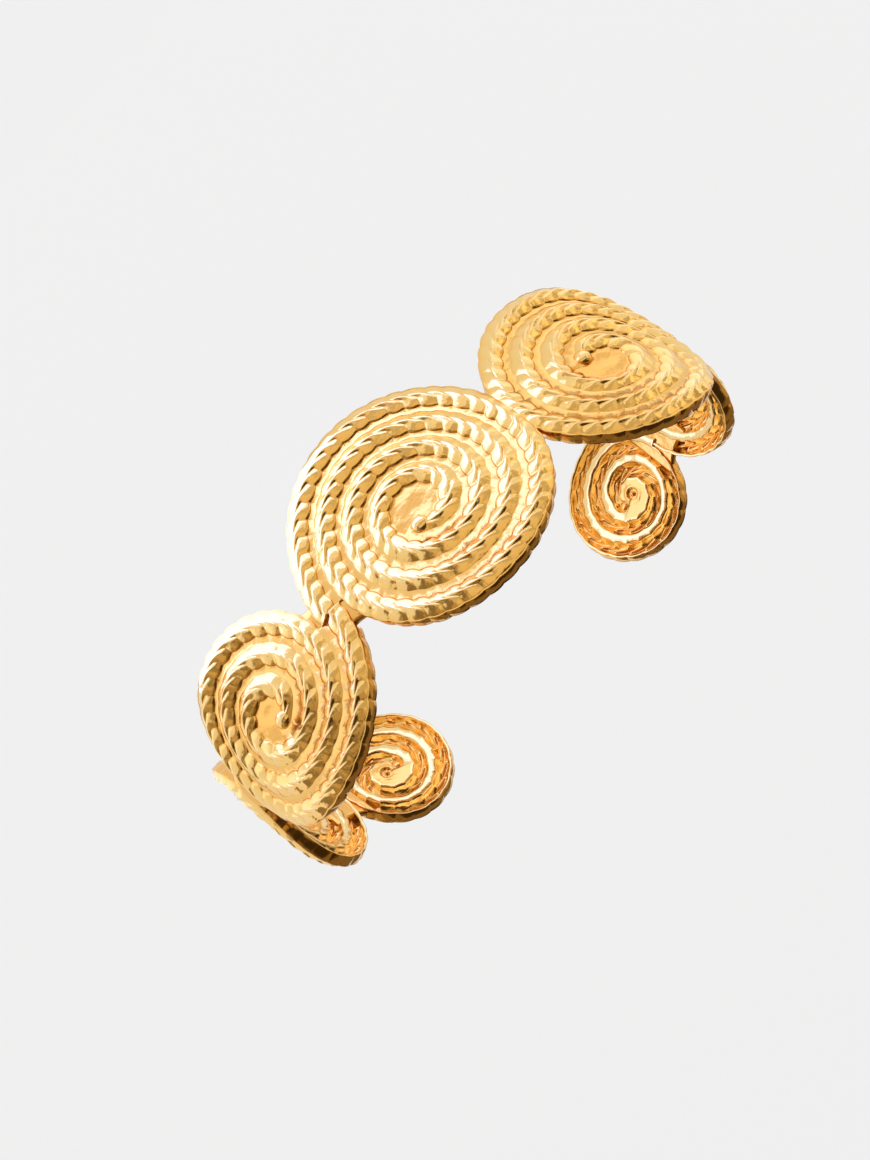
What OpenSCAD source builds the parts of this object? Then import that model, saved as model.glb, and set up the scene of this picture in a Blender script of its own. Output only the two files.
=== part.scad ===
// Upper arm cuff, open at the back: seven flat coils of twisted rope in a row, cast as one piece
// and curved round the arm. It is drawn lying level on its side, the way it rests on a table.
// The rope stands out from a thin sheet, and the inside of the sheet shows the same coils as
// smooth hollows. Three of the joints are one rope that runs from coil to coil in an S.

/* [Wall of the cuff, seen from above] */
// Radius of the wide front arc
front_arc_r = 64.4; // [58:0.1:72]
// Length of the front arc from its middle to each side
front_arc_run = 33.8; // [30:0.1:36]
// Radius of the tight arc at each side
side_arc_r = 19.1; // [17:0.1:22]
// Length of the tight arc
side_arc_run = 22.7; // [20:0.1:25]
// Radius of the arc that each open end follows
end_arc_r = 26.4; // [23:0.1:30]
// Distance from the front of the sheet back to the middle of the arm
arm_centre = 25.25; // [23:0.05:28]

/* [Coils] */
// Mean radius of the large front coil
front_coil_r = 18; // [17:0.1:18.6]
// Mean radius of the coil to its left
left_coil_r = 16.1; // [15:0.1:16.6]
// Mean radius of the coil to its right
right_coil_r = 14.9; // [14:0.1:15.4]
// Mean radius of the coil at each side
side_coil_r = 11.6; // [11:0.1:12]
// Mean radius of the coil at each open end
end_coil_r = 10.1; // [9.6:0.1:10.6]
// Turns of rope in the front coil
front_turns = 3.9; // [3.4:0.1:4.1]
// Turns of rope in the left coil
left_turns = 3.75; // [3.2:0.05:3.8]
// Turns of rope in the right coil
right_turns = 3.35; // [2.9:0.05:3.4]
// Turns of rope in each side coil
side_turns = 3.1; // [2.6:0.1:3.2]
// Turns of rope in each end coil
end_turns = 2.5; // [2.2:0.1:2.7]
// Height of the left coil's rim above the table
left_lift = 2; // [0.5:0.1:3.5]
// Height of the right coil's rim above the table
right_lift = 3.4; // [1.5:0.1:4.5]
// Height of each side coil's rim above the table
side_lift = 1.5; // [0.5:0.1:3]

/* [Joints between coils] */
// Distance between the mean rims of the front and right coils
front_right_gap = 0.7; // [0:0.1:1.2]
// How far the mean rims of the front and left coils run into each other
front_left_overlap = 1.4; // [0.6:0.1:2]
// Distance between the mean rims of the right coil and the side coil next to it
right_side_gap = 1.8; // [0.8:0.1:2.4]
// Distance between the mean rims of the left coil and the side coil next to it
left_side_gap = 0.6; // [0:0.1:1.2]
// Distance between the mean rims of each side coil and the end coil next to it
side_end_gap = 0.15; // [0:0.05:0.8]
// Angle by which the rope of a side coil and that of its end coil run on to meet in one rope
end_lap = 10; // [7:0.5:14]
// Height of the neck of sheet between two coils
neck_height = 7; // [5:0.1:8]

/* [Rope and sheet] */
// Distance from turn to turn in the three front coils
wide_pitch = 4; // [3.7:0.05:4.2]
// Distance from turn to turn in the side and end coils
narrow_pitch = 3.2; // [3:0.05:3.4]
// Width of the smooth groove between two turns
groove_w = 0.9; // [0.5:0.05:1.1]
// Height of the rope above the sheet
rope_height = 1.3; // [0.9:0.05:1.6]
// Depth of the hollow inside the rope, seen from the arm's side
hollow_depth = 0.7; // [0.3:0.05:0.9]
// Length of one lobe of the twist along the rope
lobe = 2.75; // [2.7:0.05:3.5]
// Height of the valley between two lobes as a share of the rope's height
valley_share = 0.62; // [0.5:0.01:0.95]
// How far each lobe swells into the groove
swell = 0.22; // [0:0.01:0.3]
// Radius of the smooth eye in the middle of each coil
eye_r = 0.8; // [0.5:0.05:1]
// Thickness of the sheet
sheet_t = 0.9; // [0.7:0.05:1.2]

/* [Hidden] */

FULL = 360;
DEG = 180 / PI;
// Rows across the rope: its inner foot, its crest and its outer foot
FOOT_IN = 0;
CREST = 1;
FOOT_OUT = 2;
ROWS = 3;
// Share of the rope's width from its inner foot to its crest
CREST_SHARE = 0.55;
// How far a neck reaches into each rim, how far its faces lie inside the sheet's, and the
// number of bands and the corner blocks that make it up
NECK_REACH = 1;
NECK_INSET = 0.1;
NECK_BANDS = 3;
NECK_BLOCK = 0.2;
RIM_SAMPLES = 72;

// Columns of a coil. Winding is 1 where the rope runs outwards counter-clockwise, seen from
// outside, and -1 where it runs clockwise. The end angle is where the rope leaves the coil.
RADIUS = 0;
PITCH = 1;
TURNS = 2;
WINDING = 3;
END_ANGLE = 4;
HEIGHT = 5;

// Radius of a coil's rim, which grows by one pitch over its last turn, at share g of that turn
function rim_r(radius, pitch, g) = radius + pitch * (g - 0.5);

// Depth of a coil's lowest rim point below its centre
function rim_depth(radius, pitch, winding, end_angle) = max([for (i = [0 : RIM_SAMPLES])
    let (g = i / RIM_SAMPLES)
    -rim_r(radius, pitch, g) * sin(end_angle - winding * FULL * (1 - g))]);

function coil_row(radius, pitch, turns, winding, end_angle, lift) =
    [radius, pitch, turns, winding, end_angle,
     lift + rim_depth(radius, pitch, winding, end_angle)];

// Distance along the wall between the centres of two neighbours
function span(a, b, gap) =
    sqrt(pow(a[RADIUS] + b[RADIUS] + gap, 2) - pow(a[HEIGHT] - b[HEIGHT], 2));

FRONT = coil_row(front_coil_r, wide_pitch, front_turns, 1, 0, 0);
RIGHT = coil_row(right_coil_r, wide_pitch, right_turns, 1, 180, right_lift);
RIGHT_SIDE = coil_row(side_coil_r, narrow_pitch, side_turns, -1, -end_lap, side_lift);
RIGHT_END = coil_row(end_coil_r, narrow_pitch, end_turns, -1, 180 - end_lap, 0);
LEFT = coil_row(left_coil_r, wide_pitch, left_turns, -1, 180, left_lift);
LEFT_SIDE = coil_row(side_coil_r, narrow_pitch, side_turns, 1, 180 + end_lap, side_lift);
LEFT_END = coil_row(end_coil_r, narrow_pitch, end_turns, 1, end_lap, 0);

// Places of the coils' centres along the wall, measured from the front, to the right
right_u = span(FRONT, RIGHT, front_right_gap);
right_side_u = right_u + span(RIGHT, RIGHT_SIDE, right_side_gap);
right_end_u = right_side_u + span(RIGHT_SIDE, RIGHT_END, side_end_gap);
left_u = -span(FRONT, LEFT, -front_left_overlap);
left_side_u = left_u - span(LEFT, LEFT_SIDE, left_side_gap);
left_end_u = left_side_u - span(LEFT_SIDE, LEFT_END, side_end_gap);

// The row of coils from the left end to the right end: its place and its columns
COILS = [
    [left_end_u, LEFT_END],
    [left_side_u, LEFT_SIDE],
    [left_u, LEFT],
    [0, FRONT],
    [right_u, RIGHT],
    [right_side_u, RIGHT_SIDE],
    [right_end_u, RIGHT_END]
];

// Place and heading after a run along an arc of the wall
function along(start, run, r) = let (h = start[2], turned = h + run / r * DEG)
    [start.x + r * (sin(turned) - sin(h)), start.y + r * (cos(h) - cos(turned)), turned];

front_start = [0, -arm_centre, 0];
side_start = along(front_start, front_arc_run, front_arc_r);
end_start = along(side_start, side_arc_run, side_arc_r);

// Place and heading on the right half of the wall, which the left half mirrors
function half_wall(u) =
    u < front_arc_run ? along(front_start, u, front_arc_r)
    : u < front_arc_run + side_arc_run ? along(side_start, u - front_arc_run, side_arc_r)
    : along(end_start, u - front_arc_run - side_arc_run, end_arc_r);

function wall(u) = let (w = half_wall(abs(u)), side = u < 0 ? -1 : 1)
    [side * w.x, w.y, side * w[2]];

// Point at place u and height z, a distance out from the sheet's outer face
function on_wall(u, z, out) = let (w = wall(u))
    [w.x + out * sin(w[2]), w.y - out * cos(w[2]), z];

function between(low, x, high) = max(low, min(x, high));

// One coil with its sheet: two skins of triangles on a grid that follows the rope, and a rim.
// The turning angle runs from the first turn to the last, and the rope's outer foot lies at
// the pitch times the number of turns, so each turn fits against the one inside it.
module coil(place, c) {
    pitch = c[PITCH];
    rope_w = pitch - groove_w;
    end_turn = FULL * (c[RADIUS] / pitch + 0.5);
    start_turn = end_turn - FULL * c[TURNS];

    // Length of the rope's centre line from the spiral's pole, and its inverse
    function run_at(turn) = (pitch * turn * turn / (2 * FULL) - rope_w * turn / 2) / DEG;
    function turn_at(run) = let (a = pitch / FULL)
        (rope_w / 2 + sqrt(rope_w * rope_w / 4 + 2 * a * run * DEG)) / a;

    start_run = run_at(start_turn);
    steps = 2 * round((run_at(end_turn) - start_run) / lobe);
    step = (run_at(end_turn) - start_run) / steps;

    function turn(k) = turn_at(start_run + k * step);
    function k_of(t) = (run_at(t) - start_run) / step;

    // Last step with a turn outside it, and first step with a turn inside it
    last_inner = floor(k_of(end_turn - FULL));
    first_outer = ceil(k_of(start_turn + FULL));

    // Each lobe runs slantwise over the rope: it swells at the inner foot on even steps,
    // is high at the crest on odd ones, and ends at the outer foot two steps on
    function row_r(k, row) = let (
            outer = pitch * turn(k) / FULL,
            inner = max(eye_r, outer - rope_w - (k % 2 == 0 ? swell : 0)))
        row == FOOT_OUT ? outer
        : row == FOOT_IN ? inner
        : inner + CREST_SHARE * (outer - inner);
    function crest_height(k) = k == 0 ? 0 : rope_height * (k % 2 == 0 ? valley_share : 1);
    function out_front(k, row) = row == CREST ? crest_height(k) : 0;
    function out_back(k, row) = (row == CREST && k > 0 ? hollow_depth : 0) - sheet_t;

    function polar(r, angle, out) =
        on_wall(place + r * cos(angle), c[HEIGHT] + r * sin(angle), out);
    function angle_at(k) = c[END_ANGLE] + c[WINDING] * (turn(k) - end_turn);
    eye_angle = angle_at(0) - c[WINDING] * 90;

    front = concat(
        [for (k = [0 : steps], row = [0 : ROWS - 1])
            polar(row_r(k, row), angle_at(k), out_front(k, row))],
        [polar(eye_r / 2, eye_angle, 0)]);
    back = concat(
        [for (k = [0 : steps], row = [0 : ROWS - 1])
            polar(row_r(k, row), angle_at(k), out_back(k, row))],
        [polar(eye_r / 2, eye_angle, -sheet_t)]);

    function at(k, row) = k * ROWS + row;
    eye = at(steps + 1, 0);

    rope = [for (k = [0 : steps - 1], row = [FOOT_IN, CREST], half = [0, 1])
        half == 0
            ? [at(k, row), at(k + 1, row), at(k + 1, row + 1)]
            : [at(k, row), at(k + 1, row + 1), at(k, row + 1)]];
    // The groove is closed like a zip between the turn inside it and the turn outside it
    groove_from_inside = [for (k = [0 : last_inner - 1])
        let (other = ceil(k_of(turn(k + 0.5) + FULL) - 0.5))
        [at(k, FOOT_OUT), at(k + 1, FOOT_OUT), at(between(first_outer, other, steps), FOOT_IN)]];
    groove_from_outside = [for (k = [first_outer : steps - 1])
        let (other = floor(k_of(turn(k + 0.5) - FULL) + 0.5))
        [at(k, FOOT_IN), at(between(0, other, last_inner), FOOT_OUT), at(k + 1, FOOT_IN)]];
    eye_loop = concat(
        [for (k = [0 : first_outer]) at(k, FOOT_IN)],
        [at(0, FOOT_OUT), at(0, CREST)]);
    eye_fan = [for (i = [0 : len(eye_loop) - 1])
        [eye, eye_loop[(i + 1) % len(eye_loop)], eye_loop[i]]];
    skin = concat(rope, groove_from_inside, groove_from_outside, eye_fan);

    outline = concat(
        [for (k = [last_inner : steps]) at(k, FOOT_OUT)],
        [at(steps, CREST), at(steps, FOOT_IN)]);
    inside = len(front);
    rim = [for (i = [0 : len(outline) - 1], half = [0, 1])
        let (a = outline[i], b = outline[(i + 1) % len(outline)])
        half == 0 ? [a, b, b + inside] : [a, b + inside, a + inside]];

    faces = concat(skin, [for (f = skin) [f[2] + inside, f[1] + inside, f[0] + inside]], rim);
    polyhedron(
        points = concat(front, back),
        faces = c[WINDING] > 0 ? faces : [for (f = faces) [f[2], f[1], f[0]]],
        convexity = 10);
}

// Point on a coil's rim in one direction from its centre, moved in from the rim by an inset
function rim_place(coil, angle, inset) = let (
        c = coil[1],
        part_turn = c[WINDING] * (angle - c[END_ANGLE]) / FULL,
        r = rim_r(c[RADIUS], c[PITCH], part_turn - floor(part_turn)) - inset)
    [coil[0] + r * cos(angle), c[HEIGHT] + r * sin(angle)];

// Small block of the neck's thickness, set square to the wall
module block(place) {
    w = wall(place.x);
    translate([w.x, w.y, place.y])
        rotate([0, 0, w[2]])
            translate([-NECK_BLOCK / 2, NECK_INSET, -NECK_BLOCK / 2])
                cube([NECK_BLOCK, sheet_t - 2 * NECK_INSET, NECK_BLOCK]);
}

// Neck of sheet between two neighbours, in bands from rim to rim
module neck(left, right) {
    toward = atan2(right[1][HEIGHT] - left[1][HEIGHT], right[0] - left[0]);

    module bar(i) {
        rise = neck_height * (i / NECK_BANDS - 0.5);
        block(rim_place(left, toward + asin(rise / left[1][RADIUS]), NECK_REACH));
        block(rim_place(right, toward + 180 - asin(rise / right[1][RADIUS]), NECK_REACH));
    }

    for (i = [0 : NECK_BANDS - 1])
        hull() {
            bar(i);
            bar(i + 1);
        }
}

module cuff() {
    color("gold") {
        for (place = COILS)
            coil(place[0], place[1]);
        for (i = [0 : len(COILS) - 2])
            neck(COILS[i], COILS[i + 1]);
    }
}

cuff();
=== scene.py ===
"""Looks of an upper arm cuff that is open at the back and lies on its side on a pale floor.

Seven flat coils of twisted rope stand in a row and curve round the arm. They are cast as one
thin sheet with a polished gold finish: the rope stands out from it and ends in a round bead in
the middle of each coil, and the inside shows the same rope as hollows. Necks of plain sheet
join the coils.
"""
import math
from typing import NamedTuple, Optional

import bpy
import numpy as np
from bpy.props import FloatProperty, FloatVectorProperty, IntProperty, PointerProperty
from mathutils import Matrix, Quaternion, Vector


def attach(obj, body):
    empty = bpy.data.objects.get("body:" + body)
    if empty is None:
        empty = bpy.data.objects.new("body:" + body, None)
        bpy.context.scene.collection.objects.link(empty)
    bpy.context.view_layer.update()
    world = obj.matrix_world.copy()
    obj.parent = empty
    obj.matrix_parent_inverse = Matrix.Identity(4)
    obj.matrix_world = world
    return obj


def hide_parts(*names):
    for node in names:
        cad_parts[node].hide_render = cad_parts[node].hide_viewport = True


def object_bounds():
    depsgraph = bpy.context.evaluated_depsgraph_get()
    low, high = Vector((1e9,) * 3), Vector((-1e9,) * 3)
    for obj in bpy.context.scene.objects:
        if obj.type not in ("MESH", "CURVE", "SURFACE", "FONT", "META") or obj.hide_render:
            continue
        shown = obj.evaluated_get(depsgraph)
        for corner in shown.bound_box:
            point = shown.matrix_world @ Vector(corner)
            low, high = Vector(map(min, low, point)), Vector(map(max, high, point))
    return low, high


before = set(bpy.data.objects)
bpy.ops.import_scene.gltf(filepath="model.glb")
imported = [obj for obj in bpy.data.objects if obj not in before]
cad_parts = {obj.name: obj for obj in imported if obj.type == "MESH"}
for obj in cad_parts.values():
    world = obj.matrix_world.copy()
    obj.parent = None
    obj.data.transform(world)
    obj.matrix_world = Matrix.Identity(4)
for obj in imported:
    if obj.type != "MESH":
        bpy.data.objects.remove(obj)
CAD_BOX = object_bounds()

bl_info = {
    "name": "Upper Arm Cuff",
    "version": (1, 0, 0),
    "blender": (4, 5, 0),
    "location": "3D View > Sidebar > Cuff",
    "description": "Builds a cuff of twisted rope coils in polished gold, with its stage",
    "category": "Object",
}

MM = 0.001
NODE = "cuff"
BODY = "root"
TURN = 2 * math.pi
FLOOR = CAD_BOX[0].z
GOLD = "polished_gold"
HEIGHT = "rope_height"
WELD = 0.0002 * MM


def length(name, description, default_mm):
    return FloatProperty(
        name=name, description=description, default=default_mm * MM, min=0, subtype="DISTANCE",
        unit="LENGTH", precision=5)


def number(name, description, default):
    return FloatProperty(name=name, description=description, default=default, min=0)


def colour(name, description, default):
    return FloatVectorProperty(
        name=name, description=description, default=default, size=3, min=0, max=1,
        subtype="COLOR")


class CuffWall(bpy.types.PropertyGroup):
    """The wall's curve, seen from above"""
    front_arc_r: length("Front arc", "Radius of the wide front arc", 64.4)
    front_arc_run: length("Front arc run", "Length of the front arc to each side", 33.8)
    side_arc_r: length("Side arc", "Radius of the tight arc at each side", 19.1)
    side_arc_run: length("Side arc run", "Length of the tight arc", 22.7)
    end_arc_r: length("End arc", "Radius of the arc that each open end follows", 26.4)
    arm_centre: length("Arm centre", "Distance from the front back to the arm's middle", 25.25)


class CuffCoils(bpy.types.PropertyGroup):
    """The seven coils and the gaps between them"""
    front_r: length("Front radius", "Mean radius of the large front coil", 18)
    left_r: length("Left radius", "Mean radius of the coil to its left", 16.1)
    right_r: length("Right radius", "Mean radius of the coil to its right", 14.9)
    side_r: length("Side radius", "Mean radius of the coil at each side", 11.6)
    end_r: length("End radius", "Mean radius of the coil at each open end", 10.1)
    front_turns: number("Front turns", "Turns of rope in the front coil", 3.96)
    left_turns: number("Left turns", "Turns of rope in the left coil", 3.48)
    right_turns: number("Right turns", "Turns of rope in the right coil", 3.33)
    side_turns: number("Side turns", "Turns of rope in each side coil", 3.08)
    end_turns: number("End turns", "Turns of rope in each end coil", 2.6)
    left_lift: length("Left lift", "Height of the left coil's rim above the floor", 2)
    right_lift: length("Right lift", "Height of the right coil's rim above the floor", 3.4)
    side_lift: length("Side lift", "Height of each side coil's rim above the floor", 1.5)
    front_right_gap: length("Front to right", "Gap between the mean rims there", 0.7)
    front_left_overlap: length("Front over left", "Overlap of the mean rims there", 1.4)
    right_side_gap: length("Right to side", "Gap between the mean rims there", 1.8)
    left_side_gap: length("Left to side", "Gap between the mean rims there", 0.6)
    side_end_gap: length("Side to end", "Gap between the mean rims at each open end", 0.15)
    end_lap: FloatProperty(
        name="End lap", description="Angle by which the ropes of a side and an end coil run on",
        default=math.radians(10), subtype="ANGLE", unit="ROTATION")
    wide_pitch: length("Wide pitch", "From turn to turn in the three front coils", 4)
    narrow_pitch: length("Narrow pitch", "From turn to turn in the side and end coils", 3.2)
    front_curl: number("Front curl", "How far the tip keeps from the pole, in pitches", 0.25)
    other_curl: number("Other curl", "The same in the other six coils", 0.13)


class CuffRope(bpy.types.PropertyGroup):
    """The rope, its bead and hollow, and the sheet that it stands on"""
    groove_w: length("Groove", "Width of the smooth groove between two turns", 0.9)
    groove_lift: length("Groove lift", "Height of the groove above the sheet", 0.3)
    flange_w: length("Flange", "Width of plain sheet outside the rope", 0.28)
    fillet_w: length("Fillet", "Width of the soft foot inside the rope", 0.08)
    height: length("Height", "Height of the rope above the groove", 0.97)
    roof: number("Roof", "Power that rounds the rope's inner half: low is crisp", 1.25)
    vault: number("Vault", "The same power for both halves of the hollow inside", 2.6)
    foot: number("Foot", "Height of the rope's feet as a share of its own", 0.2)
    bank: number("Bank", "Height of the outer foot in front as a share of the rope's", 0.31)
    scallop: number("Scallop", "How far the feet draw in between two lobes, as a share", 0.2)
    lean: number("Lean", "How far outwards the crest lies, as a share of the half width", 0.1)
    calm: number("Calm", "How much shallower the valleys are at the outer foot", 0.8)
    soft: number("Soft", "How much shallower the valleys are at the inner foot", 0.5)
    uneven: number("Uneven", "How much the lobes differ in length and bulk", 0.09)
    lobe_round: number("Lobe round", "Power of a lobe's back along the rope", 2.0)
    lobe_skew: number("Lobe skew", "Over 1, a lobe rises slowly outwards and falls fast", 1.1)
    lobe: length("Lobe", "Length of one lobe of the twist along the rope", 2.45)
    slant: number("Slant", "Lobes that a strand runs on while it crosses half the rope", 0.1)
    sweep: number("Sweep", "Lobes that it runs on besides while it crosses the crest", 0.65)
    valley: number("Valley", "Depth between two lobes as a share of the rope's size", 0.3)
    thicken: number("Thicken", "How much wider the inner half is in the first turn", 0.25)
    waist: number("Waist", "How much thinner the rope is behind its bead", 0.35)
    tip: length("Tip", "Length of the rounded tip in the middle of a coil", 1.5)
    eye_dish: length("Eye", "Depth of the smooth field in the middle of a coil", 0.15)
    eye_ring: length("Eye ring", "Height of the ring and knob inside, behind the eye", 0.35)
    bead_share: number("Bead", "Radius of the bead on the rope's tip, in pitches", 0.325)
    bead_run: length("Bead run", "From the rope's tip to the middle of its bead", 1.0)
    sheet_t: length("Sheet", "Thickness of the sheet", 0.9)
    hollow: length("Hollow", "Depth of the rope's hollow, seen from the arm's side", 1.05)
    hollow_valley: number("Hollow valley", "Depth between the hollow's lobes as a share", 0.42)
    hollow_share: number("Hollow share", "Width of the hollow as a share of the rope's", 0.84)
    ridge: length("Ridge", "How far the ridges between the hollows stand up inside", 0.3)
    edge: length("Edge", "Radius of the rim's soft edges", 0.12)
    columns: IntProperty(
        name="Columns", description="Columns of the mesh along one lobe", default=16, min=4)
    rows: IntProperty(
        name="Rows", description="Rows of the mesh over the rope", default=14, min=4)


class CuffNecks(bpy.types.PropertyGroup):
    """The necks between the coils"""
    height: length("Height", "Height of each neck where it is narrowest", 7)
    reach: length("Reach", "How far a neck runs under each rim", 2.2)
    flare: number("Flare", "How much higher a neck is at its ends than in its middle", 0.35)
    inset: length("Inset", "How far a neck's faces lie inside the sheet's", 0.06)
    swell: length("Swell", "How far a neck's middle stands out like a fillet", 0.55)


class CuffFinishAndPaintedLight(bpy.types.PropertyGroup):
    """The gold, with a painted highlight on the crest and a painted shade in the valleys"""
    # Painted highlight: the crest's gold is paler, as where the light catches it.
    crest: colour("Crest", "Gold on the rope's crest", (1.0, 0.7, 0.3))
    body: colour("Body", "Gold on the rope's flanks and the sheet", (1.0, 0.65, 0.22))
    # Painted shade: the gold deep in the valleys is browner, as where shade falls there.
    hollow: colour("Hollow", "Gold deep in the valleys", (0.9, 0.42, 0.07))
    roughness: number("Roughness", "Roughness of the polished gold", 0.13)
    bump_depth: length("Bump", "Depth of the casting's dents and waves in the gold", 0.12)


class CuffStage(bpy.types.PropertyGroup):
    """The floor, the daylight and the camera"""
    floor_size: FloatProperty(
        name="Floor", description="Side of the floor", default=0.7, subtype="DISTANCE",
        unit="LENGTH")
    floor_front: FloatProperty(
        name="Floor front", description="How far the floor reaches in front", default=0.13,
        subtype="DISTANCE", unit="LENGTH")
    floor_tone: number("Floor tone", "Brightness of the floor", 0.9)
    daylight: number("Daylight", "Even light from all sides, which the gold doesn't mirror", 0.97)
    focal: FloatProperty(
        name="Focal length", description="Focal length on a 36 mm sensor, in mm",
        default=102.4)
    camera_place: FloatVectorProperty(
        name="Camera", description="Place of the camera", subtype="TRANSLATION",
        default=(0.05574, -0.3652, 0.26519))
    camera_look: FloatVectorProperty(
        name="View", description="Direction in which the camera looks", subtype="DIRECTION",
        default=(-0.11737, 0.81473, -0.56784))
    camera_roll: FloatProperty(
        name="Roll", description="Turn of the camera about its own axis", subtype="ANGLE",
        unit="ROTATION", default=math.radians(-127.195))


# Shape of the wall

def along(start, run, radius):
    """Place and heading after a run along an arc: x + r (sin h1 - sin h0),
    y + r (cos h0 - cos h1), with the heading h1 = h0 + run / r."""
    x, y, h0 = start
    h1 = h0 + run / radius
    return x + radius * (np.sin(h1) - np.sin(h0)), y + radius * (np.cos(h0) - np.cos(h1)), h1


def on_wall(wall, flat):
    """Carries flat points (u, z, out) to the wall: u is the distance along it from the front,
    to the right, z the height and out the distance outwards from the sheet's outer face. The
    wall is three arcs that meet without a kink, and its left half mirrors the right one."""
    u, z, out = flat[:, 0], flat[:, 1], flat[:, 2]
    run = np.abs(u)
    front = (0.0, -wall.arm_centre, 0.0)
    side = along(front, wall.front_arc_run, wall.front_arc_r)
    end = along(side, wall.side_arc_run, wall.side_arc_r)
    past_front = run - wall.front_arc_run
    past_side = past_front - wall.side_arc_run
    arcs = (along(front, run, wall.front_arc_r),
            along(side, past_front, wall.side_arc_r),
            along(end, past_side, wall.end_arc_r))
    x, y, h = (np.where(past_front < 0, a, np.where(past_side < 0, b, c))
               for a, b, c in zip(*arcs))
    return np.stack((np.sign(u) * (x + out * np.sin(h)), y - out * np.cos(h), z), axis=1)


# Places of the coils

class Coil(NamedTuple):
    """A coil: its mean rim radius, its pitch, its turns, its winding (1 where the rope runs
    outwards counter-clockwise, seen from outside), the angle where the rope leaves it, its
    middle's height and its place along the wall, the point where its rope meets its
    neighbour's, if it does, and how far its tip keeps from the pole."""
    name: str
    radius: float
    pitch: float
    turns: float
    winding: int
    end_angle: float
    height: float
    place: float = 0.0
    meet: Optional[tuple] = None
    curl: float = 0.0

    @property
    def end_turn(self):
        """Turning angle from the pole to the end of the last turn."""
        return TURN * (self.radius / self.pitch + 0.5)


def standing(name, radius, pitch, turns, curl, winding, end_angle, lift):
    """A coil whose lowest rim point lies at the lift, and whose curl is given in pitches. The
    rim's radius grows by one pitch over the last turn, which is searched degree by degree."""
    share = np.linspace(0, 1, 361)
    rim = radius + pitch * (share - 0.5)
    depth = np.max(-rim * np.sin(end_angle - winding * TURN * (1 - share)))
    return Coil(name, radius, pitch, turns, winding, end_angle, lift + depth, curl=curl * pitch)


def span(a, b, gap):
    """Distance along the wall between two neighbours' centres: the other side of a triangle
    whose long side is both radii and the gap."""
    return math.sqrt((a.radius + b.radius + gap) ** 2 - (a.height - b.height) ** 2)


def rope_end(coil):
    """Point (u, z) on the rim at the end of a coil's last turn."""
    return (coil.place + coil.radius * math.cos(coil.end_angle),
            coil.height + coil.radius * math.sin(coil.end_angle))


def meeting(a, b):
    """Two coils whose ropes run on into each other, halfway between their ends."""
    point = tuple((p + q) / 2 for p, q in zip(rope_end(a), rope_end(b)))
    return a._replace(meet=point), b._replace(meet=point)


def coil_row(c):
    """The seven coils from the left end to the right end, each in its place."""
    half = math.pi
    wide, narrow, curl = c.wide_pitch, c.narrow_pitch, c.other_curl
    front = standing("front_coil", c.front_r, wide, c.front_turns, c.front_curl, 1, 0, 0)
    right = standing("right_coil", c.right_r, wide, c.right_turns, curl, 1, half, c.right_lift)
    right_side = standing("right_side_coil", c.side_r, narrow, c.side_turns, curl, -1,
                          -c.end_lap, c.side_lift)
    right_end = standing("right_end_coil", c.end_r, narrow, c.end_turns, curl, -1,
                         half - c.end_lap, 0)
    left = standing("left_coil", c.left_r, wide, c.left_turns, curl, -1, half, c.left_lift)
    left_side = standing("left_side_coil", c.side_r, narrow, c.side_turns, curl, 1,
                         half + c.end_lap, c.side_lift)
    left_end = standing("left_end_coil", c.end_r, narrow, c.end_turns, curl, 1, c.end_lap, 0)

    right = right._replace(place=span(front, right, c.front_right_gap))
    right_side = right_side._replace(
        place=right.place + span(right, right_side, c.right_side_gap))
    right_end = right_end._replace(
        place=right_side.place + span(right_side, right_end, c.side_end_gap))
    left = left._replace(place=-span(front, left, -c.front_left_overlap))
    left_side = left_side._replace(place=left.place - span(left, left_side, c.left_side_gap))
    left_end = left_end._replace(
        place=left_side.place - span(left_side, left_end, c.side_end_gap))

    front, right = meeting(front, right)
    right_side, right_end = meeting(right_side, right_end)
    left_end, left_side = meeting(left_end, left_side)
    return [left_end, left_side, left, front, right, right_side, right_end]


# Mesh helpers

def smooth_step(x):
    """0 below 0, 1 above 1 and 3x^2 - 2x^3 between."""
    x = np.clip(x, 0, 1)
    return x * x * (3 - 2 * x)


def strip(a, b):
    """Two triangles for each step along two rows of as many points."""
    return np.concatenate((np.stack((a[:-1], a[1:], b[1:]), 1),
                           np.stack((a[:-1], b[1:], b[:-1]), 1)))


def zip_up(a, turn_a, b, turn_b):
    """Triangles between two rows whose points lie at the given turning angles. Every edge of a
    row takes the other row's point at which the two rows' edge middles change places."""
    mid_a = (turn_a[1:] + turn_a[:-1]) / 2
    mid_b = (turn_b[1:] + turn_b[:-1]) / 2
    return np.concatenate((
        np.stack((a[:-1], a[1:], b[np.searchsorted(mid_b, mid_a)]), 1),
        np.stack((b[:-1], a[np.searchsorted(mid_a, mid_b, side="right")], b[1:]), 1)))


def facing_out(points, triangles):
    """The triangles of a closed mesh, turned the other way if its signed volume is negative: a
    sixth of the triple product of each triangle's corners, added up."""
    a, b, c = (points[triangles[:, i]] for i in range(3))
    return triangles if np.einsum("ij,ij->", a, np.cross(b, c)) > 0 else triangles[:, ::-1]


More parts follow.
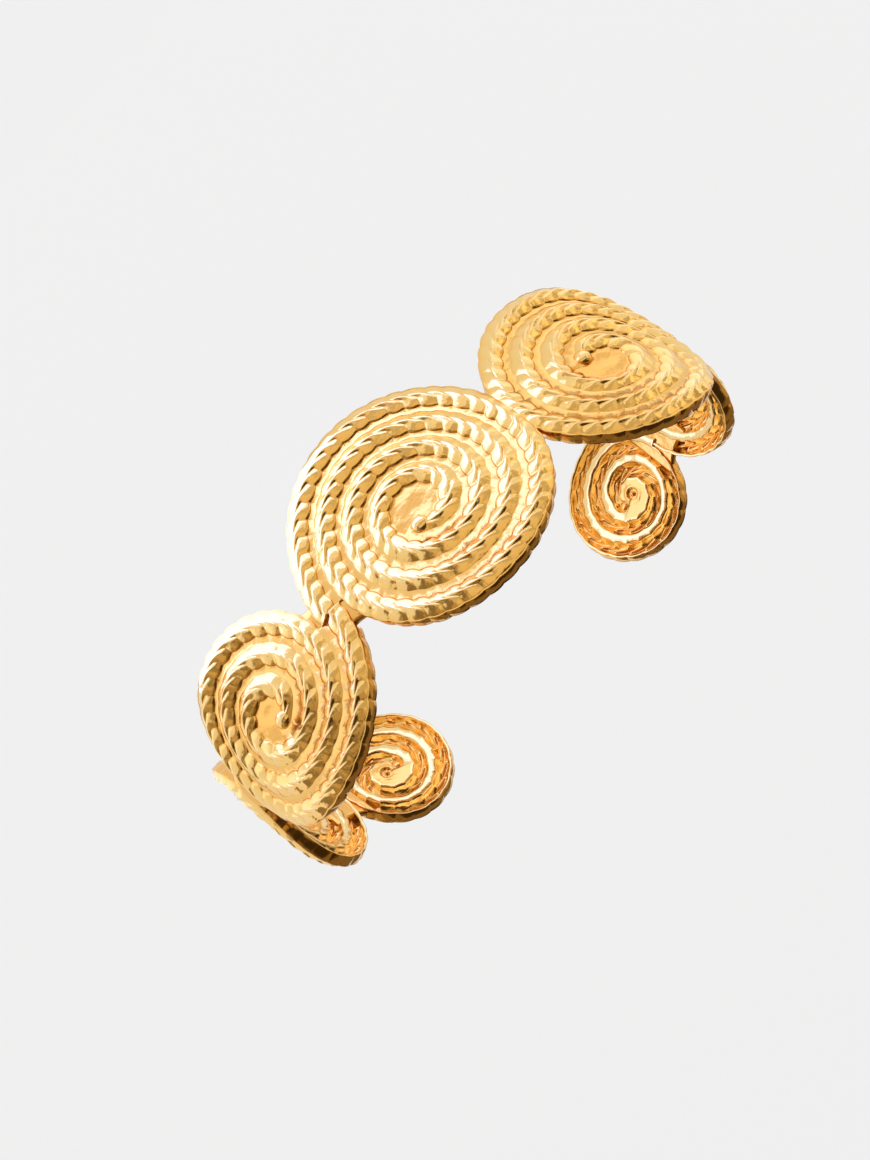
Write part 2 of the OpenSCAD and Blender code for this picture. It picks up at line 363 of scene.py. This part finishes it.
def make_piece(name, points, triangles, height):
    """A smooth-shaded gold mesh object at the origin from points in place, with the rope's
    height on each. Equal points are merged, and triangles that become a line are dropped. The
    floor's diffuse light doesn't see the piece, so the floor stays pale and even round it."""
    _, first, index = np.unique(np.round(points / WELD).astype(np.int64), axis=0,
                                return_index=True, return_inverse=True)
    triangles = index.reshape(-1)[triangles]
    whole = ((triangles[:, 0] != triangles[:, 1]) & (triangles[:, 1] != triangles[:, 2])
             & (triangles[:, 2] != triangles[:, 0]))
    points = points[first]
    triangles = facing_out(points, triangles[whole])
    mesh = bpy.data.meshes.new(name)
    mesh.vertices.add(len(points))
    mesh.vertices.foreach_set("co", points.ravel())
    mesh.loops.add(triangles.size)
    mesh.loops.foreach_set("vertex_index", triangles.ravel().astype(np.int32))
    mesh.polygons.add(len(triangles))
    mesh.polygons.foreach_set("loop_start", np.arange(0, triangles.size, 3, dtype=np.int32))
    mesh.update(calc_edges=True)
    mesh.validate()
    mesh.polygons.foreach_set("use_smooth", np.ones(len(mesh.polygons), dtype=bool))
    layer = mesh.attributes.new(HEIGHT, "FLOAT", "POINT")
    layer.data.foreach_set("value", height[first].astype(np.float32))
    mesh.materials.append(bpy.data.materials.get(GOLD)
                          or gold_material(bpy.context.scene.cuff_finish))
    piece = bpy.data.objects.new(name, mesh)
    bpy.context.scene.collection.objects.link(piece)
    piece.visible_diffuse = False
    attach(piece, BODY)
    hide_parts(NODE)
    return piece


# The rope

class Strand:
    """A coil's rope on a grid of columns along it and rows over it, whose place over the rope
    is c, from -1 at the inner foot to 1 at the outer one. The centre line lies at the radius
    pitch t / 2 pi - k, where t is the turning angle and k the flange and half the rope. Its
    length from the pole is pitch t^2 / 4 pi - k t, which is solved for t. The columns slant with
    the twist, mostly where they cross the crest, so the valley between two lobes runs along one
    of them. Each lobe is 1 - |2 s - 1|^round high, where s is its share, skewed by a power."""

    SLANT_RAMP = 8 * MM     # over which the slant starts and ends
    BLEND_RUN = 9 * MM      # over which a rope turns towards its neighbour's
    ROW_POWER = 1.2         # over 1, rows crowd at the crest
    SWEEP = (-0.4, 0.3)     # between these places the strands cross the crest
    WAIST = (0.9, 6)        # the waist's place in lobes from the tip, and its sharpness
    THICK_LOBES = 3         # lobes from the tip to where the inner half is widest
    END_TIPS = 2            # a free outer end is rounded over this many lengths of the tip
    SOFT_RATE = 1.3         # the valleys grow shallow inwards this much faster than outwards
    DRAW_OUT = 0.4          # how much less the outer foot draws in between two lobes
    NOTCH = 0.8             # height of the thin notch beside the outer foot, as a share
    LEDGE = 0.95            # height of the groove's rise beyond that notch, as a share
    SINK = 0.7              # share of the way down at the first row beyond a foot
    POLE_KEEP = 0.9         # share of the radius that the inner half may take up

    def __init__(self, coil, rope):
        self.coil = coil
        self.rope = rope
        self.half = (coil.pitch - rope.groove_w) / 2
        self.centre = rope.flange_w + self.half
        start = self.run_at(coil.end_turn - TURN * coil.turns)
        end_turn = coil.end_turn
        self.shift = 0.0
        if coil.meet:
            du = coil.meet[0] - coil.place
            dz = coil.meet[1] - coil.height
            miss = math.atan2(dz, du) - coil.end_angle
            end_turn += coil.winding * math.remainder(miss, TURN)
            self.shift = (math.hypot(du, dz) - self.centre + coil.pitch / 2
                          - self.radius_at(end_turn))
        end = self.run_at(end_turn)
        steps = round((end - start) / rope.lobe * rope.columns)
        # Each coil's lobes differ by a seed of its own, and the last ones keep their length, so
        # that two ropes meet in step. The order counts lobes from the rope's end.
        order = np.arange(-steps, 1) / rope.columns
        lobes = np.arange(math.floor(order[0]) - 1, 2)
        chance = np.random.default_rng(sum(map(ord, coil.name)))
        uneven, bulk = rope.uneven * chance.uniform(-1, 1, (2, len(lobes)))
        uneven[-2:] = 0
        run = end + (end - start) * rope.columns / steps * (
            order + np.interp(order, lobes, uneven))
        run = start + (run - run[0]) * (end - start) / (run[-1] - run[0])
        over = np.linspace(-1, 1, rope.rows + 1)
        over = np.sign(over) * np.abs(over) ** self.ROW_POWER
        self.cross = np.concatenate(([-1, -1], over, [1, 1]))
        fade = np.minimum((run - start) / self.SLANT_RAMP, (end - run) / self.SLANT_RAMP)
        fade = np.clip(fade, 0, 1)[:, None]
        low, high = self.SWEEP
        slant = (rope.slant * self.cross
                 + rope.sweep * smooth_step((self.cross - low) / (high - low)))
        self.run = run[:, None] + rope.lobe * fade * slant
        self.turn = self.turn_at(self.run)
        phase = order[:, None] - (1 - fade) * slant
        skewed = (phase % 1) ** rope.lobe_skew
        self.lobe = 1 - np.abs(2 * skewed - 1) ** rope.lobe_round
        self.lobe *= 1 + bulk[(np.floor(phase) - lobes[0]).astype(int)]
        past = self.run - start
        place, sharp = self.WAIST
        waist = np.exp(-(past / rope.lobe - place) ** 2 * sharp)
        self.thick = 1 + rope.thicken * np.exp(-(past / (self.THICK_LOBES * rope.lobe) - 1) ** 2)
        self.taper = self.rounded(past / rope.tip) * (1 - rope.waist * waist)
        if not coil.meet:
            self.taper *= self.rounded((end - self.run) / (self.END_TIPS * rope.tip))
        self.blend = smooth_step(1 - (end - self.run) / self.BLEND_RUN) * bool(coil.meet)

    @staticmethod
    def rounded(share):
        """Quarter circle from 0 to 1: the root of 1 - (1 - x)^2."""
        return np.sqrt(1 - (1 - np.clip(share, 0, 1)) ** 2)

    def run_at(self, turn):
        """Length of rope from the pole to a turning angle."""
        return self.coil.pitch * turn ** 2 / (2 * TURN) - self.centre * turn

    def turn_at(self, run):
        """Turning angle at a length of rope."""
        rise = self.coil.pitch / TURN
        return (self.centre + np.sqrt(self.centre ** 2 + 2 * rise * run)) / rise

    def radius_at(self, turn):
        """The spiral's radius r, held off the pole: (r + sqrt(r^2 + 4 curl^2)) / 2."""
        radius = self.coil.pitch * turn / TURN - self.centre
        return (radius + np.sqrt(radius ** 2 + 4 * self.coil.curl ** 2)) / 2

    def skin(self, height, base, valley, roof, crown=0.0, bank=0.0, share=1.0):
        """Points (u, z, out) of one face and their rise. The rise is h (f + (1 - f) (1 -
        |c|^roof)), with f for the foot, and less in the valleys, which grow shallow towards
        both feet. With a bank the outer half is a straight slope down to it, with a notch and
        then the groove beyond. Without one each foot sinks to the crown's depth. The face is
        share of the rope's width, its crest leans outwards, its feet draw in between two
        lobes, and a limit a keeps it off the pole: w becomes a tanh(w / a)."""
        rope = self.rope
        cross = np.broadcast_to(self.cross, self.turn.shape)
        outwards = smooth_step(cross)
        inwards = smooth_step(-self.SOFT_RATE * cross)
        gap = 1 - self.lobe
        foot = np.where(cross > 0, max(bank, rope.foot), rope.foot)
        power = np.where(cross > 0, 1 if bank else roof, roof)
        rise = foot + (1 - foot) * (1 - np.abs(cross) ** power)
        rise = height * rise * self.taper
        rise *= 1 - valley * (1 - rope.calm * outwards - rope.soft * inwards) * gap
        rise[:, 0] = -crown
        rise[:, 1] = (1 - self.SINK) * rise[:, 1] - self.SINK * crown
        if bank:
            rise[:, -1] = self.LEDGE * rise[:, -2] - crown
            rise[:, -2] *= self.NOTCH
        else:
            rise[:, -2] = (1 - self.SINK) * self.NOTCH * rise[:, -2] - self.SINK * crown
            rise[:, -1] = -crown
        across = self.half * (cross + rope.lean * (1 - cross ** 2)) * self.taper
        across *= 1 - rope.scallop * (1 - self.DRAW_OUT * outwards) * gap
        across *= np.where(cross < 0, self.thick, 1)
        across[:, 0] -= rope.fillet_w
        across[:, 1] -= rope.fillet_w / 2
        across[:, -2] += (rope.flange_w - rope.edge) / 2
        across[:, -1] += rope.flange_w - rope.edge
        across[:, 1:-1] *= share
        limit = self.POLE_KEEP * self.radius_at(self.turn)
        across = np.where(across < 0, limit * np.tanh(across / limit), across)
        return self.place(across, base + rise), rise

    def place(self, across, out):
        """Flat points at a distance across the rope from its centre line. Near a neighbour the
        rope's cross direction turns from the coil's radius to the wall's run, by its blend."""
        coil = self.coil
        angle = coil.end_angle + coil.winding * (self.turn - coil.end_turn)
        out_u, out_z = np.cos(angle), np.sin(angle)
        radius = self.radius_at(self.turn) + self.shift * self.blend
        side = np.sign(math.cos(coil.end_angle))
        across_u = out_u * (1 - self.blend) + side * self.blend
        across_z = out_z * (1 - self.blend)
        unit = np.hypot(across_u, across_z)
        u = coil.place + radius * out_u + across * across_u / unit
        z = coil.height + radius * out_z + across * across_z / unit
        return np.stack((u, z, np.broadcast_to(out, u.shape)), axis=-1)


BEAD_GRID = (13, 25)
EYE_RINGS = (0.9, 0.8, 0.7, 0.6, 0.5, 0.4, 0.3, 0.2, 0.1)
EYE_OFF = 0.5 * MM      # from the pole to the eye's middle, away from the rope's tip
EYE_FIELD = 0.95        # share of the eye's least radius that its dish takes up
KNOB_WAVES = 2.4        # half waves of the ring and knob inside


def bead_mesh(strand):
    """Half-sunk ellipsoid over the rope's tip: a sin(i) cos(j), a sin(i) sin(j) and b cos(i).
    Returns flat points (u, z, out), triangles and their heights."""
    rope = strand.rope
    column = int(np.searchsorted(strand.run[:, 0], strand.run[0, 0] + rope.bead_run))
    middle = strand.place(np.zeros_like(strand.turn), 0.0)[column, 2 + rope.rows // 2]
    i = np.linspace(0, math.pi, BEAD_GRID[0])[:, None]
    j = np.linspace(0, TURN, BEAD_GRID[1])[None, :]
    flat = rope.bead_share * strand.coil.pitch
    up = np.cos(i) * np.ones_like(j)
    points = np.stack((middle[0] + flat * np.sin(i) * np.cos(j),
                       middle[1] + flat * np.sin(i) * np.sin(j),
                       rope.groove_lift + rope.height * up), axis=-1).reshape(-1, 3)
    grid = np.arange(up.size).reshape(up.shape)
    faces = np.concatenate([strip(a, b) for a, b in zip(grid, grid[1:])])
    return points, facing_out(points, faces), up.ravel()


def coil_mesh(coil, rope):
    """Closed mesh of a coil: the rope's grid, a zip across the groove between two turns, rings
    over the eye, the same again for the inside, a soft rim between the two faces, and the bead,
    a closed mesh of its own. Returns flat points (u, z, out), triangles and the rope's height
    on each point."""
    strand = Strand(coil, rope)
    front, rise = strand.skin(rope.height, rope.groove_lift, rope.valley, rope.roof,
                              bank=rope.bank)
    back, sink = strand.skin(rope.hollow, -rope.sheet_t, rope.hollow_valley, rope.vault,
                             crown=rope.ridge, share=rope.hollow_share)
    columns, rows = strand.turn.shape
    grid = np.arange(columns * rows).reshape(columns, rows)
    inner, outer = grid[:, 0], grid[:, -1]
    turn_in, turn_out = strand.turn[:, 0], strand.turn[:, -1]

    # The groove joins each turn's outer row to the next turn's inner row. The rest of the inner
    # row bounds the eye, and the rest of the outer row is the rim.
    first_outer = int(np.searchsorted(turn_in, turn_out[0] + TURN))
    last_inner = int(np.searchsorted(turn_out, turn_in[-1] - TURN))
    rope_faces = [strip(grid[:, j], grid[:, j + 1]) for j in range(rows - 1)]
    groove = zip_up(outer[:last_inner + 1], turn_out[:last_inner + 1] + TURN,
                    inner[first_outer:], turn_in[first_outer:])

    loop = np.concatenate((inner[:first_outer + 1], grid[0, :0:-1]))
    ring = np.append(loop, loop[0])
    start = coil.end_angle + coil.winding * (turn_in[0] - coil.end_turn)
    off = start - coil.winding * math.pi / 2
    eye = np.array((coil.place + EYE_OFF * math.cos(off), coil.height + EYE_OFF * math.sin(off)))
    eye_faces = []
    eye_start = grid.size
    for k in range(len(EYE_RINGS)):
        new = eye_start + k * len(loop) + np.arange(len(loop))
        new = np.append(new, new[0])
        eye_faces.append(strip(new, ring))
        ring = new
    pole = eye_start + len(EYE_RINGS) * len(loop)
    eye_faces.append(np.stack((np.full(len(loop), pole), ring[1:], ring[:-1]), 1))

    def with_eye(skin, dish, waves):
        """Adds the rings, which draw in from the loop to the eye's middle. Within the field's
        radius, at its share x, they sink by d (1 - x^2) cos(waves pi x)."""
        points = skin.reshape(-1, 3)
        arms = points[loop, :2] - eye
        reach = np.hypot(*arms.T)
        parts = [points]
        for share in EYE_RINGS + (0,):
            near = np.clip(share * reach / (EYE_FIELD * reach.min()), 0, 1)
            out = points[loop, 2] - dish * (1 - near ** 2) * np.cos(waves * math.pi * near)
            ring = np.column_stack((eye + share * arms, out))
            parts.append(ring[: len(loop) if share else 1])
        return np.concatenate(parts)

    front = with_eye(front, rope.eye_dish, 0)
    back = with_eye(back, rope.eye_ring, KNOB_WAVES)
    skin = np.concatenate([*rope_faces, groove, *eye_faces])
    inside = len(front)

    outline = np.concatenate((outer[last_inner:], grid[-1, -2::-1]))
    outline = np.append(outline, outline[0])
    push = np.zeros((len(outline), 2))
    rim = len(outer) - last_inner
    step = np.gradient(front[outline[:rim], :2], axis=0)
    push[:rim] = np.column_stack((step[:, 1], -step[:, 0])) * coil.winding
    push[:rim] *= rope.edge / np.maximum(np.hypot(*step.T), 1e-9)[:, None]
    push[-1] = push[0]
    upper = front[outline] + np.column_stack((push, np.full(len(outline), -rope.edge)))
    lower = back[outline] + np.column_stack((push, np.full(len(outline), rope.edge)))
    above = 2 * inside + np.arange(len(outline))
    below = above + len(outline)
    rim_faces = [strip(outline, above), strip(above, below), strip(below, outline + inside)]

    points = np.concatenate((front, back, upper, lower))
    faces = facing_out(points, np.concatenate((skin, skin[:, ::-1] + inside, *rim_faces)))
    # The height sets the gold's painted shade and painted highlight: grooves, eye, rim and the
    # inside's hollows get the painted shade, crests and the inside's ridges the painted
    # highlight.
    height = np.zeros(len(points))
    height[: rise.size] = (rise / rope.height).ravel()
    height[inside: inside + sink.size] = 1 - (sink / rope.hollow).ravel()
    bead, bead_faces, bead_height = bead_mesh(strand)
    return (np.concatenate((points, bead)), np.concatenate((faces, bead_faces + len(points))),
            np.concatenate((height, bead_height)))


# The necks

NECK_GRID = (25, 21)
FILLET_NARROW = 4


def rim_point(coil, angle):
    """Distance of the rim from a coil's centre in one direction."""
    part = (coil.winding * (angle - coil.end_angle) / TURN) % 1
    return coil.radius + coil.pitch * (part - 0.5)


def neck_mesh(left, right, rope, neck):
    """Closed slab between two rims. Its points are p along the line between the coils' centres
    and q across it, as shares b and q of the slab; its half height is h (1 + flare b^2), and its
    front stands out by (lift + swell e^(-(4 b)^2)) (1 - q^4), less the inset."""
    du = right.place - left.place
    dz = right.height - left.height
    apart = math.hypot(du, dz)
    toward = math.atan2(dz, du)
    from_left = rim_point(left, toward)
    to_right = apart - rim_point(right, toward + math.pi)
    low, high = sorted((from_left, to_right))
    middle = (low + high) / 2
    p = np.linspace(low - neck.reach, high + neck.reach, NECK_GRID[0])[:, None]
    q = np.linspace(-1, 1, NECK_GRID[1])
    b = (p - middle) / (p[-1] - middle)
    half = neck.height / 2 * (1 + neck.flare * b ** 2)
    u = left.place + (p * du - half * q * dz) / apart
    z = left.height + (p * dz + half * q * du) / apart
    fillet = rope.groove_lift + neck.swell * np.exp(-(FILLET_NARROW * b) ** 2)
    out = fillet * (1 - q ** 4) - neck.inset

    grid = np.arange(u.size).reshape(u.shape)
    skin = np.concatenate([strip(upper, lower) for lower, upper in zip(grid.T, grid.T[1:])])
    border = np.concatenate((grid[:, 0], grid[-1, 1:], grid[-2::-1, -1], grid[0, -2::-1]))
    front = np.stack((u, z, out), axis=-1).reshape(-1, 3)
    back = np.stack((u, z, np.full_like(u, neck.inset - rope.sheet_t)), axis=-1).reshape(-1, 3)
    points = np.concatenate((front, back))
    faces = np.concatenate((skin, skin[:, ::-1] + u.size, strip(border, border + u.size)))
    # Height 0 everywhere, so the gold material puts its painted shade over the whole neck, as in
    # a groove.
    return points, faces, np.zeros(len(points))


# Materials

class Value:
    """A socket of a node tree with the usual operators, each of which adds a Math node."""

    def __init__(self, tree, socket):
        self.tree = tree
        self.socket = socket

    def math(self, operation, *others):
        return self.tree.add("ShaderNodeMath", {"operation": operation},
                             dict(enumerate((self, *others))))

    def __add__(self, other):
        return self.math("ADD", other)

    def __sub__(self, other):
        return self.math("SUBTRACT", other)

    def __mul__(self, other):
        return self.math("MULTIPLY", other)

    def __rsub__(self, other):
        return self * -1 + other

    __radd__ = __add__
    __rmul__ = __mul__

    def clamped(self):
        """The value, held between 0 and 1."""
        return self.math("MINIMUM", 1.0).math("MAXIMUM", 0.0)


class Tree:
    """A node tree in which every node is made by one method."""

    def __init__(self, owner):
        owner.use_nodes = True
        self.nodes = owner.node_tree.nodes
        self.links = owner.node_tree.links
        self.nodes.clear()

    def add(self, kind, settings=None, inputs=None, output=0):
        """Adds a node, sets its settings, then its sockets by name or place, each to a value or
        a link, and returns one of its outputs."""
        node = self.nodes.new(kind)
        for key, value in (settings or {}).items():
            setattr(node, key, value)
        for key, value in (inputs or {}).items():
            socket = node.inputs[key]
            if isinstance(value, Value):
                self.links.new(value.socket, socket)
            else:
                socket.default_value = value
        return Value(self, node.outputs[output]) if len(node.outputs) else node

    def mix(self, factor, a, b):
        """Colour a where the factor is 0 and b where it is 1."""
        return self.add("ShaderNodeMix", {"data_type": "RGBA"}, {0: factor, 6: a, 7: b}, 2)


def rgba(tone):
    return (*tone, 1.0)


def gold_material(finish_and_painted_light):
    """Polished gold on a casting. The tone goes by the rope's height, 0 in the groove and 1 on
    the crest:
    a painted shade makes it browner below 0.45, most where the clouds are bright, and a painted
    highlight makes it paler above 0.54. Dents about 2 mm apart, waves half as far apart and a
    fine grain make the bump, and the waves and the depth add a little roughness."""
    material = bpy.data.materials.new(GOLD)
    tree = Tree(material)
    place = tree.add("ShaderNodeTexCoord", output="Object")
    height = tree.add("ShaderNodeAttribute", {"attribute_name": HEIGHT}, output="Fac")
    dents, waves, grain, clouds = (
        tree.add("ShaderNodeTexNoise", inputs={"Vector": place, "Scale": scale, "Detail": detail})
        for scale, detail in ((520.0, 0.0), (1100.0, 1.0), (2600.0, 3.0), (110.0, 3.0)))
    # Painted shade in the valleys and painted highlight on the crest, mixed into the gold's tone
    # by the rope's height.
    painted_shade = (1 - height * 2.2).clamped() * (0.35 + clouds * 0.5)
    painted_highlight = (height * 2.4 - 1.3).clamped()
    tone = tree.mix(painted_shade, rgba(finish_and_painted_light.body), rgba(finish_and_painted_light.hollow))
    tone = tree.mix(painted_highlight, tone, rgba(finish_and_painted_light.crest))
    rough = finish_and_painted_light.roughness + waves * 0.06 + (1 - height).clamped() * 0.05
    bump = tree.add("ShaderNodeBump", inputs={
        "Height": dents * 1.6 + waves * 0.8 + grain * 0.15, "Strength": 0.6,
        "Distance": finish_and_painted_light.bump_depth})
    surface = tree.add("ShaderNodeBsdfPrincipled", inputs={
        "Base Color": tone, "Metallic": 1.0, "Roughness": rough, "Normal": bump})
    tree.add("ShaderNodeOutputMaterial", inputs={"Surface": surface})
    return material


def floor_material(tone):
    """Matt paper of one grey tone."""
    material = bpy.data.materials.new("pale_floor")
    tree = Tree(material)
    surface = tree.add("ShaderNodeBsdfPrincipled", inputs={
        "Base Color": rgba((tone,) * 3), "Roughness": 1.0, "Specular IOR Level": 0.2})
    tree.add("ShaderNodeOutputMaterial", inputs={"Surface": surface})
    return material


# Operators

def build_coils(scene, *names):
    """Builds the named coils of the row."""
    for coil in coil_row(scene.cuff_coils):
        if coil.name in names:
            points, faces, height = coil_mesh(coil, scene.cuff_rope)
            make_piece(coil.name, on_wall(scene.cuff_wall, points), faces, height)


class CUFF_OT_front_coils(bpy.types.Operator):
    """Builds the large front coil and the two coils beside it"""
    bl_idname = "cuff.front_coils"
    bl_label = "Front Coils"

    def execute(self, context):
        build_coils(context.scene, "front_coil", "left_coil", "right_coil")
        return {"FINISHED"}


class CUFF_OT_side_coils(bpy.types.Operator):
    """Builds the coil at each side of the arm"""
    bl_idname = "cuff.side_coils"
    bl_label = "Side Coils"

    def execute(self, context):
        build_coils(context.scene, "left_side_coil", "right_side_coil")
        return {"FINISHED"}


class CUFF_OT_end_coils(bpy.types.Operator):
    """Builds the coil at each open end"""
    bl_idname = "cuff.end_coils"
    bl_label = "End Coils"

    def execute(self, context):
        build_coils(context.scene, "left_end_coil", "right_end_coil")
        return {"FINISHED"}


class CUFF_OT_necks(bpy.types.Operator):
    """Builds the six necks of sheet between neighbouring coils"""
    bl_idname = "cuff.necks"
    bl_label = "Necks"

    def execute(self, context):
        scene = context.scene
        row = coil_row(scene.cuff_coils)
        for left, right in zip(row, row[1:]):
            points, faces, height = neck_mesh(left, right, scene.cuff_rope, scene.cuff_necks)
            ends = (coil.name.removesuffix("_coil") for coil in (left, right))
            make_piece("_".join(("neck", *ends)), on_wall(scene.cuff_wall, points), faces, height)
        return {"FINISHED"}


# The stage

AMBER = (0.46, 0.39, 0.27)
SAND = (0.35, 0.29, 0.19)
BROWN = (0.17, 0.125, 0.065)
DUSK = (0.03, 0.02, 0.01)
MIDDLE = (0, 0, 0.018)
CARD_LIFT = 0.8 * MM

# Cool bright cards that lie just above the floor and face up: place, size, tone and turn in
# degrees. The gold turns their light into pale yellow gleams.
CARDS = {
    "card_front": ((0.006, -0.034), (0.075, 0.019), (0.7, 0.85, 2.4), 25),
    "card_left": ((-0.05, -0.018), (0.02, 0.05), (0.3, 0.3, 0.4), 0),
    "card_right": ((0.05, -0.018), (0.012, 0.05), (0.3, 0.3, 0.4), 0),
    "card_inside": ((-0.002, 0.004), (0.05, 0.02), (0.5, 0.6, 1.4), 0),
}

# Upright boards near the cuff, and large darker ones far off and overhead, which stand for a
# dim warm room: place, the point that each faces, size and tone.
BOARDS = {
    "board_front": ((-0.13, -0.1, 0.036), (-0.13, 0, 0.036), (0.34, 0.072), AMBER),
    "board_corner": ((0.17, -0.1, 0.036), (0.17, 0, 0.036), (0.26, 0.072), BROWN),
    "board_left": ((-0.15, 0.05, 0.042), (0, 0.05, 0.042), (0.3, 0.08), SAND),
    "board_right": ((0.15, 0.05, 0.042), (0, 0.05, 0.042), (0.3, 0.08), BROWN),
    "sky_low": ((0, -1.5, 0.55), MIDDLE, (3.0, 0.6), (0.22, 0.165, 0.09)),
    "sky_high": ((0, -1.3, 1.6), MIDDLE, (3.0, 1.3), DUSK),
    "sky_top": ((0, 0, 1.6), MIDDLE, (2.4, 2.0), DUSK),
    "sky_back": ((0, 1.5, 0.9), MIDDLE, (3.0, 1.6), BROWN),
    "sky_left": ((-1.5, 0, 0.9), MIDDLE, (2.4, 1.6), SAND),
    "sky_right": ((1.5, 0, 0.9), MIDDLE, (2.4, 1.6), BROWN),
}


def reflector(name, place, target, size, tone, turn=0.0):
    """A card at a place that faces a target and is then turned about the vertical, seen only as
    a gleam in the gold. A lamp's face shines at its power over four times its area, so the
    power is worked out from the brightness that the card's face is to have."""
    data = bpy.data.lights.new(name, "AREA")
    data.shape = "RECTANGLE"
    data.size, data.size_y = size
    data.energy = 4 * size[0] * size[1] * max(tone)
    data.color = [part / max(tone) for part in tone]
    lamp = bpy.data.objects.new(name, data)
    lamp.location = place
    lamp.rotation_mode = "QUATERNION"
    facing = (Vector(target) - Vector(place)).to_track_quat("-Z", "Y")
    lamp.rotation_quaternion = Quaternion((0, 0, 1), math.radians(turn)) @ facing
    lamp.visible_camera = False
    lamp.visible_diffuse = False
    bpy.context.scene.collection.objects.link(lamp)


class CUFF_OT_stage(bpy.types.Operator):
    """Builds the pale floor, the studio lights and the camera"""
    bl_idname = "cuff.stage"
    bl_label = "Stage"

    def execute(self, context):
        scene = context.scene
        stage = scene.cuff_stage
        half = stage.floor_size / 2
        front = -stage.floor_front
        back = front + stage.floor_size
        mesh = bpy.data.meshes.new("floor")
        mesh.from_pydata([(-half, front, FLOOR), (half, front, FLOOR), (half, back, FLOOR),
                          (-half, back, FLOOR)], [], [(0, 1, 2, 3)])
        mesh.materials.append(floor_material(stage.floor_tone))
        floor = bpy.data.objects.new("floor", mesh)
        scene.collection.objects.link(floor)

        for name, (place, size, tone, turn) in CARDS.items():
            reflector(name, (*place, CARD_LIFT), (*place, 1), size, tone, turn)
        for name, board in BOARDS.items():
            reflector(name, *board)

        world = bpy.data.worlds.new("studio")
        scene.world = world
        tree = Tree(world)
        light = tree.add("ShaderNodeBackground", inputs={"Color": rgba((stage.daylight,) * 3)})
        tree.add("ShaderNodeOutputWorld", inputs={"Surface": light})
        world.cycles_visibility.glossy = False
        scene.view_settings.view_transform = "Standard"
        scene.view_settings.look = "None"

        data = bpy.data.cameras.new("camera")
        data.sensor_width = 36
        data.lens = stage.focal
        data.clip_start, data.clip_end = 0.01, 20
        camera = bpy.data.objects.new("camera", data)
        camera.location = stage.camera_place
        look = Vector(stage.camera_look)
        camera.rotation_mode = "QUATERNION"
        camera.rotation_quaternion = (Quaternion(look, stage.camera_roll)
                                      @ look.to_track_quat("-Z", "Y"))
        scene.collection.objects.link(camera)
        scene.camera = camera
        return {"FINISHED"}


class CUFF_PT_panel(bpy.types.Panel):
    """The cuff's pieces and stage"""
    bl_idname = "CUFF_PT_panel"
    bl_label = "Upper Arm Cuff"
    bl_space_type = "VIEW_3D"
    bl_region_type = "UI"
    bl_category = "Cuff"

    def draw(self, context):
        for operator in OPERATORS:
            self.layout.operator(operator.bl_idname)


OPERATORS = (CUFF_OT_front_coils, CUFF_OT_side_coils, CUFF_OT_end_coils, CUFF_OT_necks,
             CUFF_OT_stage)
GROUPS = {"cuff_wall": CuffWall, "cuff_coils": CuffCoils, "cuff_rope": CuffRope,
          "cuff_necks": CuffNecks, "cuff_finish": CuffFinishAndPaintedLight, "cuff_stage": CuffStage}
CLASSES = (*GROUPS.values(), *OPERATORS, CUFF_PT_panel)


def register():
    for cls in CLASSES:
        bpy.utils.register_class(cls)
    for name, group in GROUPS.items():
        setattr(bpy.types.Scene, name, PointerProperty(type=group))


def unregister():
    for name in GROUPS:
        delattr(bpy.types.Scene, name)
    for cls in reversed(CLASSES):
        bpy.utils.unregister_class(cls)


def main():
    register()
    for operator in OPERATORS:
        group, name = operator.bl_idname.split(".")
        getattr(getattr(bpy.ops, group), name)()


if __name__ == "__main__":
    main()
